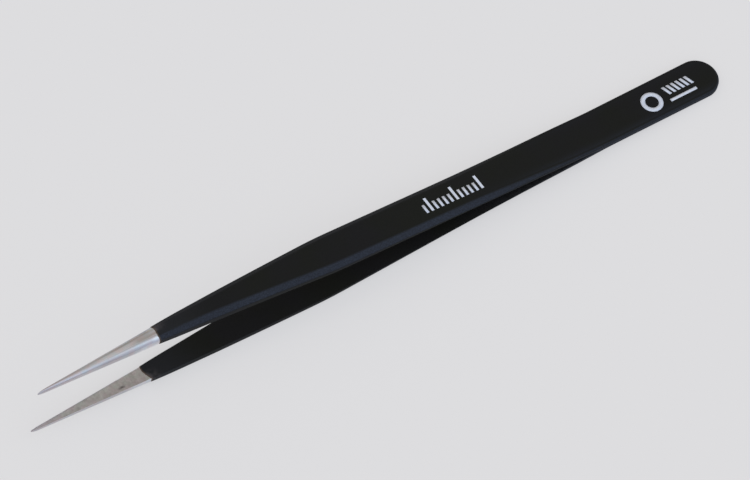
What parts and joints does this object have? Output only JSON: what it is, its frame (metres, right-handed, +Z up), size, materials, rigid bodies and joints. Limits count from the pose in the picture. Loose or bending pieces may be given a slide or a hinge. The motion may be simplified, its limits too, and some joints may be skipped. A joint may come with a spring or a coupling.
{
  "type": "anti-static tweezers",
  "caption": "Straight fine-point anti-static tweezers: slim bevelled steel arms welded at the tail, dipped in a black dissipative coating, with bare ground points.",
  "frame": {"origin": "on the bench plane, under the middle of the tweezers' length and width", "axes": "+X from the welded tail to the points, +Y across the width, +Z up from the bench that the lower arm lies on"},
  "size_m": [0.1402, 0.0074, 0.0142],
  "materials": {
    "steel": "ground stainless steel, satin, ground along the arm",
    "weld": "cast grain of a resistance spot weld, sealed between the arms",
    "coating": "black dissipative epoxy, dipped and baked, low sheen with a fine grain"
  },
  "bodies": {
    "tail": {"upper_tail_leaf": "steel", "lower_tail_leaf": "steel", "weld_nuggets": "weld", "tail_coating": "coating"},
    "upper_arm": {"upper_arm": "steel", "upper_arm_coating": "coating"},
    "lower_arm": {"lower_arm": "steel", "lower_arm_coating": "coating"}
  },
  "joints": [
    {"name": "upper_arm_flex", "type": "hinge", "parent": "tail", "child": "upper_arm", "pos_m": [-0.03203, 0, 0.00338], "axis": [0, 1, 0], "range_deg": [0, 3.02], "stiffness_Nm_per_rad": 0.75},
    {"name": "lower_arm_flex", "type": "hinge", "parent": "tail", "child": "lower_arm", "pos_m": [-0.03196, 0, 0.00204], "axis": [0, -1, 0], "range_deg": [0, 3.02], "stiffness_Nm_per_rad": 0.75}
  ]
}
